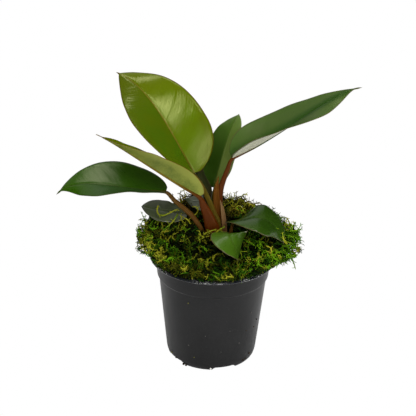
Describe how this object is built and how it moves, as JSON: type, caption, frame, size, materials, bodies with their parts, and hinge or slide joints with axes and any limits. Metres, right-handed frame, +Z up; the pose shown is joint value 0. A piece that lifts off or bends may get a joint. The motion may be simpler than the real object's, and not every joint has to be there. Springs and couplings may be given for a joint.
{
  "type": "potted philodendron",
  "caption": "Young philodendron with pointed oval leaves on reddish stalks, in a thin black nursery pot with moss over the soil.",
  "frame": {"origin": "middle of the pot's foot, on the surface that it stands on", "axes": "+Z up the pot's axis, -Y towards the front that the picture shows, +X to that view's right"},
  "size_m": [0.2465, 0.1214, 0.2402],
  "materials": {
    "pot_plastic": "satin black moulded plastic, scuffed on the lip",
    "soil": "moist crumbly potting mix",
    "crown": "short fleshy stem",
    "leaf_young": "glossy olive green leaf",
    "leaf_dark": "glossy dark green leaf",
    "leaf_mid": "glossy mid green leaf",
    "leaf_grey": "older grey-green leaf",
    "stalk": "smooth red-brown stalk",
    "sheath": "thin papery orange-brown sheath",
    "moss_olive": "matt olive moss strands",
    "moss_green": "matt bright green moss strands"
  },
  "bodies": {
    "root": {"pot": "pot_plastic", "soil": "soil", "crown": "crown", "blade_upright_left": "leaf_young", "blade_folded_left": "leaf_young", "blade_low_left": "leaf_dark", "blade_upright_back": "leaf_mid", "blade_long_right": "leaf_mid", "blade_low_right": "leaf_mid", "blade_front_small": "leaf_mid", "blade_moss_left": "leaf_grey", "blade_behind_crown": "leaf_grey", "stalk_upright_left": "stalk", "stalk_folded_left": "stalk", "stalk_low_left": "stalk", "stalk_upright_back": "stalk", "stalk_long_right": "stalk", "stalk_low_right": "stalk", "stalk_front_small": "stalk", "stalk_moss_left": "stalk", "stalk_behind_crown": "stalk", "sheath_orange": "sheath", "sheath_pink": "sheath", "sheath_back": "sheath", "moss_front": "moss_olive", "moss_right": "moss_green", "moss_back": "moss_olive", "moss_left": "moss_green"}
  },
  "joints": []
}
